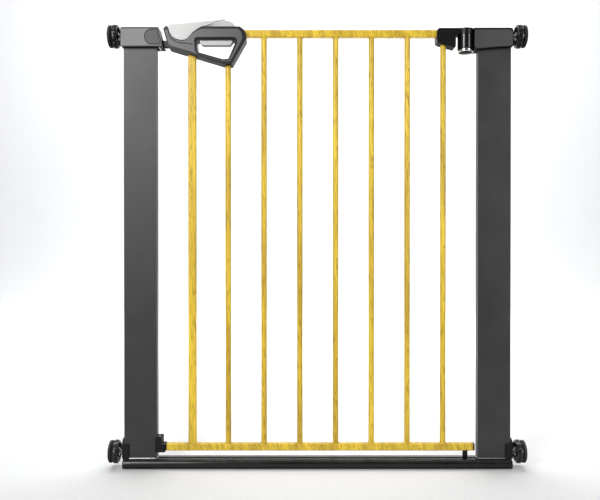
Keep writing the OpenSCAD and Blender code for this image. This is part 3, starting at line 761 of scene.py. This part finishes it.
class GATE_OT_wood(GateOperator, bpy.types.Operator):
    """Prints the wood grain on the bars and the two rails"""

    bl_idname = "gate.wood"
    bl_label = "Wood-print bars and rails"

    def make(self):
        repaint(BARS + ["top_rail", "bottom_rail"])


class GATE_OT_posts(GateOperator, bpy.types.Operator):
    """Makes the two box-section posts with rounded tube edges"""

    bl_idname = "gate.posts"
    bl_label = "Posts"

    def make(self):
        for node in ("left_post", "right_post"):
            rounded_copy(node, shape().tube_round, segments=4)


class GATE_OT_threshold(GateOperator, bpy.types.Operator):
    """Makes the threshold tubes with their end plugs"""

    bl_idname = "gate.threshold"
    bl_label = "Threshold"

    def make(self):
        rounded_copies((("threshold_tubes", 0.4, 2), ("threshold_plugs", 0.8, 3)))


def raised_plate(name, node, outer, holes, proud, rounding):
    """A grey plate with holes, standing proud of a shell's face, its edges rolled over."""
    curve = bpy.data.curves.new(name, "CURVE")
    curve.dimensions = "2D"
    curve.fill_mode = "BOTH"
    for loop in [outer] + holes:
        spline = curve.splines.new("POLY")
        spline.points.add(len(loop) - 1)
        for point, (x, z) in zip(spline.points, loop):
            point.co = (x, z, 0.0, 1.0)
        spline.use_cyclic_u = True
    curve.extrude = proud - rounding
    curve.bevel_depth = rounding
    curve.bevel_resolution = 3
    curve.offset = -rounding
    holder = new_piece(name + "_outline", curve)
    mesh = evaluated_mesh(holder)
    mesh.name = name
    bpy.data.objects.remove(holder)
    face = Matrix.Translation((0.0, outer_y(node), 0.0))
    mesh.transform(face @ Matrix.Rotation(math.pi / 2, 4, "X"))
    mesh.shade_smooth()
    piece = new_piece(name, mesh)
    piece.modifiers.new("normals", "WEIGHTED_NORMAL")
    dress(piece, node, "grey_plastic")
    return piece


CORNER_SHARE = 0.45  # the most of a side that one rounded corner takes


def softened(points, radius, steps=5):
    """A closed outline with its corners rounded."""
    result = []
    count = len(points)
    for i, corner in enumerate(points):
        here = Vector(corner)
        before = Vector(points[i - 1]) - here
        after = Vector(points[(i + 1) % count]) - here
        cut = min(radius, before.length * CORNER_SHARE, after.length * CORNER_SHARE)
        start = here + before.normalized() * cut
        end = here + after.normalized() * cut
        for k in range(steps + 1):
            t = k / steps
            result.append(tuple(start * (1 - t) ** 2 + here * 2 * t * (1 - t) + end * t ** 2))
    return result


class GATE_OT_housings(GateOperator, bpy.types.Operator):
    """Makes the two post housings with the grey panels on their faces, and the strike"""

    bl_idname = "gate.housings"
    bl_label = "Post housings"

    def make(self):
        for node in ("hinge_housing_front", "hinge_housing_rear",
                     "latch_housing_front", "latch_housing_rear"):
            rounded_copy(node, shape().housing_round, segments=4, weigh=seam_weight)
        rounded_copies((("latch_strike", 0.25, 2),))
        for half in ("front", "rear"):
            self.latch_panels("latch_housing_" + half)
            self.hinge_panel("hinge_housing_" + half)

    def plate(self, name, node, outer, holes):
        """A grey plate a little proud of the node's face."""
        return raised_plate(name, node, outer, holes, 0.35 * MM, 0.3 * MM)

    def latch_panels(self, node):
        """The latch housing's face, with a D-shaped plate let into its end."""
        low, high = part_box(node)
        slant = 8.2 * MM  # how far the end leans back from bottom to top
        disc, groove = 12.4 * MM, 1.2 * MM
        height = high[2] - low[2]
        left, right = low[0] + 0.5 * MM, high[0] - 1.6 * MM
        # Painted shade: the panel stops 2.6 mm below the top, so the darker shell shows as a dark
        # band along the housing's top edge.
        bottom, top = low[2] + 1.2 * MM, high[2] - 2.6 * MM
        middle_x, middle_z = high[0] - slant - 10.4 * MM, low[2] + 17 * MM

        def nose(z):
            return right - slant * (z - low[2]) / height

        def letter_d(radius, inset):
            low_z, high_z = middle_z - radius, middle_z + radius
            return arc(middle_x, middle_z, radius, 90, 270, 18) + [
                (nose(low_z) - inset, low_z), (nose(high_z) - inset, high_z)]

        face = softened([(left, bottom), (nose(bottom), bottom), (nose(top), top), (left, top)],
                        1.5 * MM)
        self.plate(node + "_panel", node, face, [letter_d(disc + groove, 1.6 * MM)])
        inlay = self.plate(node + "_inlay", node, letter_d(disc, 2.4 * MM), [])
        inlay.data.materials[0] = finishes()["matt_plastic"]

    def hinge_panel(self, node):
        """The hinge housing's face, following its swept underside."""
        low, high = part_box(node)
        left, right = low[0] + 1.2 * MM, high[0] - 1.0 * MM
        # Painted shade: the panel stops 3 mm below the top, so the darker shell shows as a dark
        # band along the housing's top edge.
        top = high[2] - 3.0 * MM
        under = [(0.0, 2.6), (5.0, 1.6), (13.0, 1.8), (24.0, 3.0), (42.0, 4.4)]
        outline = [(left + x * MM, low[2] + z * MM) for x, z in under]
        outline += [(right - 5.0 * MM, low[2] + 5.4 * MM), (right, low[2] + 6.8 * MM),
                    (right, top - 4.0 * MM), (right - 4.0 * MM, top), (left, top)]
        self.plate(node + "_panel", node, softened(outline, 2.0 * MM), [])


class GATE_OT_hinge(GateOperator, bpy.types.Operator):
    """Makes the hinge: bracket, barrel, bright cap, pin, nut, bush, cup and closing spring"""

    bl_idname = "gate.hinge"
    bl_label = "Hinge"

    def make(self):
        rounded_copies((
            ("hinge_bracket", 1.8, 4), ("hinge_barrel", 0.7, 3), ("barrel_cap", 1.4, 4),
        ))
        self.cap_disc()
        rounded_copies((
            ("hinge_pin", 0.5, 3), ("hinge_nut", 0.4, 2), ("hinge_bush", 0.3, 2),
            ("spring_cup", 0.3, 2), ("lower_pivot", 0.5, 3), ("pivot_bush", 0.3, 2),
        ))
        repaint(["closing_spring", "trigger_spring", "button_spring"])

    def cap_disc(self):
        """Painted shade: a black disc on the underside of the bright cap, so the cap's bottom
        renders dark.
        """
        low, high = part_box("barrel_cap")
        rim, chamfer, thickness, proud = 1.6 * MM, 0.3 * MM, 0.5 * MM, 0.2 * MM
        radius = (high[0] - low[0]) / 2 - rim
        profile = [(0, 0), (0, radius - chamfer), (chamfer, radius), (thickness, radius),
                   (thickness, 0)]
        disc = mesh_from(lathe(profile, 48), "cap_disc")
        upright = Matrix.Rotation(-math.pi / 2, 4, "Y")
        disc.transform(Matrix.Translation((HINGE.x, HINGE.y, low[2] - proud)) @ upright)
        dress(new_piece("cap_disc", disc), "barrel_cap", "black_plastic")


class GATE_OT_handle(GateOperator, bpy.types.Operator):
    """Makes the handle: two shells, their grey face panels and the light top cover"""

    bl_idname = "gate.handle"
    bl_label = "Handle"

    # Painted shade: the panel stops short of the handle's edges, so the black shell shows round it;
    # the wide black band down the right leg is partly the black moulding and partly painted shade
    # for the handle's darker right side.
    # Millimetres from the handle's left end and from the top of the latch housing
    PANEL = [(2.6, -5.0), (10.2, -31.6), (104.0, -60.0), (117.0, -59.6), (138.0, -21.4),
             (138.0, -13.6), (135.4, -6.5), (130.5, -2.4), (67.8, -2.4), (57.2, -6.4),
             (49.5, -11.6), (43.7, -18.0), (38.0, -22.7), (31.4, -23.6), (21.4, -21.4),
             (14.2, -16.7), (9.2, -8.6), (7.4, -2.4)]
    PANEL_LOOP = [(53.6, -17.2), (126.4, -17.2), (129.8, -25.0), (115.4, -57.4), (102.8, -57.9),
                  (55.8, -44.6)]
    RIDGE = [(9.6, -12.5), (14.6, -20.6), (22.0, -24.8), (31.8, -27.2), (40.0, -27.4),
             (51.4, -29.4)]
    RIDGE_WIDTH = 1.0

    def make(self):
        for node in ("handle_front", "handle_rear"):
            rounded_copy(node, shape().handle_round, segments=5, weigh=seam_weight)
            self.panel(node)
        rounded_copies((("handle_top_cover", 1.6, 4),))

    def panel(self, node):
        """The grey panel on one face of the handle, with its ridge line as a slit."""
        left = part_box(node)[0][0]
        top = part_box("latch_housing_front")[1][2]

        def place(points):
            return [(left + u * MM, top + v * MM) for u, v in points]

        slit = self.RIDGE + [(u, v - self.RIDGE_WIDTH) for u, v in reversed(self.RIDGE)]
        holes = [softened(place(self.PANEL_LOOP), 7 * MM), place(slit)]
        outer = softened(place(self.PANEL), 3 * MM)
        raised_plate(node + "_panel", node, outer, holes, 0.6 * MM, 0.45 * MM)


class GATE_OT_latch(GateOperator, bpy.types.Operator):
    """Makes the trigger, the thumb button and the latch bolt"""

    bl_idname = "gate.latch"
    bl_label = "Latch"

    def make(self):
        rounded_copies((("trigger", 1.2, 4), ("thumb_button", 2.2, 5), ("latch_bolt", 0.5, 3)))


class GATE_OT_fittings(GateOperator, bpy.types.Operator):
    """Makes the foot collars, the keeper, and the caps at the ends of the bottom rail"""

    bl_idname = "gate.fittings"
    bl_label = "Collars, keeper and rail ends"

    def make(self):
        rounded_copies((
            ("left_collar", 1.1, 3), ("right_collar", 1.1, 3), ("gate_keeper", 0.9, 3),
            ("rail_end_cap", 0.8, 3), ("rail_end_bolt", 0.7, 3),
        ))


class GATE_OT_welds(GateOperator, bpy.types.Operator):
    """Lays the weld beads where bars meet rails and posts meet the threshold"""

    bl_idname = "gate.welds"
    bl_label = "Weld beads"

    def make(self):
        bead = shape().weld_bead
        rail_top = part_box("bottom_rail")[1][2]
        rail_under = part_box("top_rail")[0][2]
        feet = [(centre(node).x, 0.0, rail_top) for node in BARS[1:]]
        heads = [(centre(node).x, 0.0, rail_under) for node in BARS[2:-1]]
        width, _ = self.spread("bar_3")
        self.bead("bar_welds", feet + heads, width, width, width / 2, bead, "bar_3")
        width, depth = self.spread("bar_1")
        first = [(centre("bar_1").x, 0.0, rail_top)]
        self.bead("first_bar_weld", first, width, depth, 2.5 * MM, bead, "bar_1")
        base_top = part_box("threshold_tubes")[1][2]
        # Painted highlight: the post-foot beads wear bright steel, so they show as a light line
        # along the foot of each post.
        for node in ("left_post", "right_post"):
            width, depth = self.spread(node)
            foot = [(centre(node).x, 0.0, base_top + 0.2 * MM)]
            self.bead(node + "_weld", foot, width - 0.6 * MM, depth, 2.2 * MM, 0.9 * bead,
                      node, "bright_steel")

    def spread(self, node):
        """A node's width and depth."""
        low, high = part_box(node)
        return high[0] - low[0], high[1] - low[1]

    def bead(self, name, points, width, depth, corner, size, node, slot=None):
        """One group of like beads on one body."""
        mesh = grow(points_mesh(points), "weld beads", {
            "Width": width, "Depth": depth, "Corner": corner * 0.98, "Bead": size,
            "Unevenness": size * 0.7, "Seed": 3, "Material": finish_for(node)}, name)
        dress(new_piece(name, mesh), node, slot)


class GATE_OT_rods(GateOperator, bpy.types.Operator):
    """Cuts the thread on the four spindle rods"""

    bl_idname = "gate.rods"
    bl_label = "Threaded rods"

    def make(self):
        for corner in CORNERS:
            node = "rod_" + corner
            low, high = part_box(node)
            side = side_of(corner)
            start = high[0] if side < 0 else low[0]
            mesh = grow(points_mesh([]), "spindle thread", {
                "Radius": (high[2] - low[2]) / 2, "Length": high[0] - low[0],
                "Pitch": shape().thread_pitch, "Depth": shape().thread_depth,
                "Material": finish_for(node)}, node + "_thread")
            turn = Matrix.Rotation(side * math.pi / 2, 4, "Y")
            mesh.transform(Matrix.Translation((start, 0.0, centre(node).z)) @ turn)
            stand_for(new_piece(node + "_thread", mesh), node)


WHEEL_STEPS = 72
SPOKES = 6


class GATE_OT_wheels(GateOperator, bpy.types.Operator):
    """Makes the four ribbed hand wheels and their rubber wall pads"""

    bl_idname = "gate.wheels"
    bl_label = "Hand wheels and wall pads"

    def make(self):
        for corner in CORNERS:
            self.wheel("wheel_" + corner)
            self.pad("pad_" + corner)

    def wheel(self, node):
        """A wheel, hollow towards the post, with ribs round the rim and spokes to the hub."""
        low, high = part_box(node)
        width = high[0] - low[0]
        radius = (high[1] - low[1]) / 2
        rim = radius - 1.4 * MM
        hub = 7.5 * MM
        bore = 4.0 * MM
        dish = width * 0.65
        wall = radius - 4.6 * MM
        edge = 1.0 * MM
        profile = [(0, bore), (0, hub - edge), (edge * 0.3, hub - edge * 0.3), (edge, hub),
                   (dish - edge, hub), (dish, hub + edge), (dish, wall - edge), (dish - edge, wall),
                   (edge, wall), (edge * 0.3, wall + edge * 0.3), (0, wall + edge), (0, rim - edge),
                   (edge * 0.3, rim - edge * 0.3), (edge, rim), (width - 2.4 * edge, rim),
                   (width - 1.0 * edge, rim - 0.6 * edge), (width - 0.3 * edge, rim - 1.7 * edge),
                   (width, rim - 3.2 * edge), (width, bore), (0, bore)]
        body = lathe(profile, WHEEL_STEPS)
        rib_r = 1.9 * MM
        rib_len = width - 2.2 * MM
        rib = lathe([(0, 0), (0.3 * MM, rib_r * 0.6), (1.0 * MM, rib_r),
                     (rib_len - 1.4 * MM, rib_r), (rib_len - 0.4 * MM, rib_r * 0.6),
                     (rib_len, 0)], 14, 0.6 * MM)
        bmesh.ops.translate(rib, verts=rib.verts, vec=(0.0, radius - rib_r, 0.0))
        lap, half_spoke = 1 * MM, 1.4 * MM
        spoke = plate_bmesh([(3 * MM, hub - lap), (dish, hub - lap), (dish, wall + lap),
                             (5 * MM, wall + lap)], -half_spoke, half_spoke)
        rib_shape = helper("rib", rib)
        spoke_shape = helper("spoke", spoke)
        mesh = grow(mesh_from(body, "wheel_body"), "ring of ribs", {
            "Rib": rib_shape, "Count": shape().wheel_ribs, "Spoke": spoke_shape, "Spokes": SPOKES,
            "Material": finish_for(node)}, node + "_finish")
        discard(rib_shape, spoke_shape)
        self.place(mesh, node)

    def place(self, mesh, node):
        """Puts a turned shape in a node's place, turned round on the left side."""
        low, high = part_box(node)
        side = side_of(node)
        start = low[0] if side > 0 else high[0]
        turn = Matrix.Identity(4) if side > 0 else Matrix.Rotation(math.pi, 4, "Z")
        mesh.transform(Matrix.Translation((start, 0.0, (low[2] + high[2]) / 2)) @ turn)
        stand_for(new_piece(mesh.name, mesh), node)

    def pad(self, node):
        """A rubber pad with a raised rim and shallow grip rings on its face."""
        low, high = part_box(node)
        width = high[0] - low[0]
        radius = (high[2] - low[2]) / 2
        bore, floor = 4.1 * MM, width - 2.0 * MM
        groove, pitch, rings = 0.35 * MM, 2.6 * MM, 5
        profile = [(0, bore), (0, radius - 0.8 * MM), (0.8 * MM, radius),
                   (width - 1.6 * MM, radius), (width - 0.5 * MM, radius - 0.5 * MM),
                   (width, radius - 1.6 * MM)]
        for i in range(rings):
            outer = radius - 3.0 * MM - i * pitch
            profile += [(width, outer), (width - groove, outer - 0.4 * MM),
                        (width - groove, outer - 1.0 * MM), (width, outer - 1.4 * MM)]
        closed = profile + [(width, 0.0), (floor, 0.0), (floor, bore), (0, bore)]
        self.place(mesh_from(lathe(closed, WHEEL_STEPS), node + "_finish"), node)


class GATE_OT_fasteners(GateOperator, bpy.types.Operator):
    """Makes the cross-head screws, the rivets and the spindle nuts"""

    bl_idname = "gate.fasteners"
    bl_label = "Screws, rivets and nuts"

    def make(self):
        for node in ("housing_screws", "handle_screws"):
            self.screws(node, self.islands(node))
        rounded_copies((("keeper_rivets", 0.45, 3), ("spindle_nuts", 0.4, 2)))

    def islands(self, node):
        """The middle (x, z) of each separate solid of a node."""
        bm = merged_copy(node)
        seen = set()
        middles = []
        for vert in bm.verts:
            if vert in seen:
                continue
            seen.add(vert)
            members = [vert]
            for here in members:
                others = {edge.other_vert(here) for edge in here.link_edges} - seen
                seen |= others
                members += others
            xs = [member.co.x for member in members]
            zs = [member.co.z for member in members]
            middles.append(((min(xs) + max(xs)) / 2, (min(zs) + max(zs)) / 2))
        bm.free()
        return middles

    def screws(self, node, middles):
        """Pan-head screws facing the rear, with a cross recess."""
        low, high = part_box(node)
        length_y = high[1] - low[1]
        shank_r, head_r, head_h = 1.5 * MM, 2.8 * MM, 2.0 * MM
        body = lathe([(0, 0), (0, shank_r), (length_y - head_h, shank_r),
                      (length_y - head_h, head_r), (length_y - 0.9 * MM, head_r),
                      (length_y - 0.3 * MM, head_r * 0.8), (length_y, head_r * 0.4),
                      (length_y, 0)], 24)
        screw = helper("screw", body)
        screw.data.transform(Matrix.Rotation(math.pi / 2, 4, "Z"))
        cutter = bmesh.new()
        for turn in (0.0, math.pi / 2):
            arm = bmesh.ops.create_cube(cutter, size=1.0)["verts"]
            bmesh.ops.scale(cutter, verts=arm, vec=(0.7 * MM, 1.6 * MM, 3.2 * MM))
            bmesh.ops.rotate(cutter, verts=arm, cent=(0, 0, 0),
                             matrix=Matrix.Rotation(turn, 3, "Y"))
        bmesh.ops.translate(cutter, verts=cutter.verts, vec=(0.0, length_y, 0.0))
        recess = helper("recess", cutter)
        cut = screw.modifiers.new("recess", "BOOLEAN")
        cut.object = recess
        cut.operation = "DIFFERENCE"
        cut.use_self = True
        cut_mesh = evaluated_mesh(screw)
        screw.modifiers.clear()
        screw.data = cut_mesh
        points = [(x, low[1], z) for x, z in middles]
        mesh = grow(points_mesh(points), "fasteners",
                    {"Shape": screw, "Material": finish_for(node)}, node + "_finish")
        discard(screw, recess)
        stand_for(new_piece(node + "_finish", mesh), node)


ROOM_LIGHT = 0.13
# Name, place, target, width, height, power in watts and spread in degrees
LAMPS = (
    ("key", (-0.78, -1.25, 1.25), (-0.25, 0.0, 0.66), 0.7, 0.7, 2.6, 75),
    ("front_top", (0.0, -0.5, 2.1), (0.0, -0.1, 0.0), 2.4, 0.5, 0.70, 70),
    ("top", (0.0, 1.3, 2.4), (0.0, 1.3, 0.0), 3.6, 1.8, 29.0, 110),
    ("wall_wash", (0.0, 1.4, 3.0), (0.0, 4.2, 1.2), 5.0, 0.8, 150.0, 180),
    ("left_strip", (-0.85, -1.5, 0.9), (0.1, 0.0, 0.6), 0.16, 1.3, 3.2, 90),
    ("right_strip", (1.15, -1.1, 0.8), (0.2, 0.0, 0.5), 0.16, 1.3, 2.6, 90),
)


class GATE_OT_stage(GateOperator, bpy.types.Operator):
    """Sets the pale floor, the soft lights and the camera"""

    bl_idname = "gate.stage"
    bl_label = "Stage"

    def make(self):
        stage = bpy.context.scene.gate_stage
        self.floor(stage)
        self.lights()
        self.camera(stage)

    def floor(self, stage):
        """A pale sweep: a floor that curves up into a backdrop."""
        bm = bmesh.new()
        half = stage.floor_size
        depth, bend, height = 3.0, 1.2, 5.0
        path = [(-half, 0.0)] + arc(depth, bend, bend, -90, 0, 9) + [(depth + bend, height)]
        left = [bm.verts.new((-half, y, z)) for y, z in path]
        right = [bm.verts.new((half, y, z)) for y, z in path]
        for i in range(len(path) - 1):
            bm.faces.new((left[i], right[i], right[i + 1], left[i + 1]))
        smooth_faces(bm)
        sweep = new_piece("floor", mesh_from(bm, "floor"))
        material, g, shader = new_material("pale_floor")
        tone = g.out("ShaderNodeTexNoise", {"Vector": object_coordinates(g), "Scale": 3.0})
        pale = g.ramp(tone, [(0.0, (0.888, 0.895, 0.905)), (1.0, (0.908, 0.915, 0.925))])
        g.feed(shader, {"Base Color": pale, "Roughness": 0.8})
        sweep.data.materials.append(material)

    def lights(self):
        """A dim room and the area lights."""
        world = bpy.context.scene.world or bpy.data.worlds.new("room")
        bpy.context.scene.world = world
        world.use_nodes = True
        background = world.node_tree.nodes["Background"]
        background.inputs["Color"].default_value = (1.0, 1.0, 1.0, 1.0)
        background.inputs["Strength"].default_value = ROOM_LIGHT
        for lamp in LAMPS:
            self.area(*lamp)

    def area(self, name, place, target, width, height, power, spread):
        """An area light that faces a target, with its spread in degrees."""
        light = bpy.data.lights.new(name, "AREA")
        light.shape = "RECTANGLE"
        light.size = width
        light.size_y = height
        light.energy = power
        light.spread = math.radians(spread)
        lamp = bpy.data.objects.new(name, light)
        bpy.context.scene.collection.objects.link(lamp)
        lamp.location = place
        lamp.rotation_euler = (Vector(target) - Vector(place)).to_track_quat("-Z", "Y").to_euler()

    def camera(self, stage):
        """The camera, square to the gate and almost level."""
        data = bpy.data.cameras.new("camera")
        data.sensor_width = 36.0
        data.lens = stage.focal_length
        camera = bpy.data.objects.new("camera", data)
        bpy.context.scene.collection.objects.link(camera)
        camera.location = (-stage.camera_side, -stage.camera_distance, stage.camera_height)
        camera.rotation_euler = (math.pi / 2 - stage.camera_pitch, 0.0, 0.0)
        bpy.context.scene.camera = camera
        bpy.context.scene.view_settings.view_transform = "Standard"


OPERATORS = (
    GATE_OT_wood, GATE_OT_posts, GATE_OT_threshold, GATE_OT_housings, GATE_OT_hinge, GATE_OT_handle,
    GATE_OT_latch, GATE_OT_fittings, GATE_OT_welds, GATE_OT_rods, GATE_OT_wheels, GATE_OT_fasteners,
    GATE_OT_stage,
)


class GATE_PT_finish(bpy.types.Panel):
    """The gate's settings and operators in the sidebar"""

    bl_idname = "GATE_PT_finish"
    bl_label = "Safety gate"
    bl_space_type = "VIEW_3D"
    bl_region_type = "UI"
    bl_category = "Gate"

    def draw(self, context):
        """Lists the settings, then one button for each operator."""
        for group, kind in SETTINGS:
            box = self.layout.box()
            for name in kind.__annotations__:
                box.prop(getattr(context.scene, group), name)
        for operator in OPERATORS:
            self.layout.operator(operator.bl_idname)


SETTINGS = (
    ("gate_shape", GateShapeSettings), ("gate_colours", GateColourSettings),
    ("gate_stage", GateStageSettings),
)
CLASSES = tuple(kind for _, kind in SETTINGS) + OPERATORS + (GATE_PT_finish,)


def register():
    """Registers the classes and hangs the settings on the scene."""
    for kind in CLASSES:
        bpy.utils.register_class(kind)
    for name, kind in SETTINGS:
        setattr(bpy.types.Scene, name, PointerProperty(type=kind))


def unregister():
    """Takes the settings and classes away again."""
    for name, _ in SETTINGS:
        delattr(bpy.types.Scene, name)
    for kind in reversed(CLASSES):
        bpy.utils.unregister_class(kind)


def main():
    """Registers the add-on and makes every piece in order."""
    register()
    for operator in OPERATORS:
        group, name = operator.bl_idname.split(".")
        getattr(getattr(bpy.ops, group), name)()


if __name__ == "__main__":
    main()
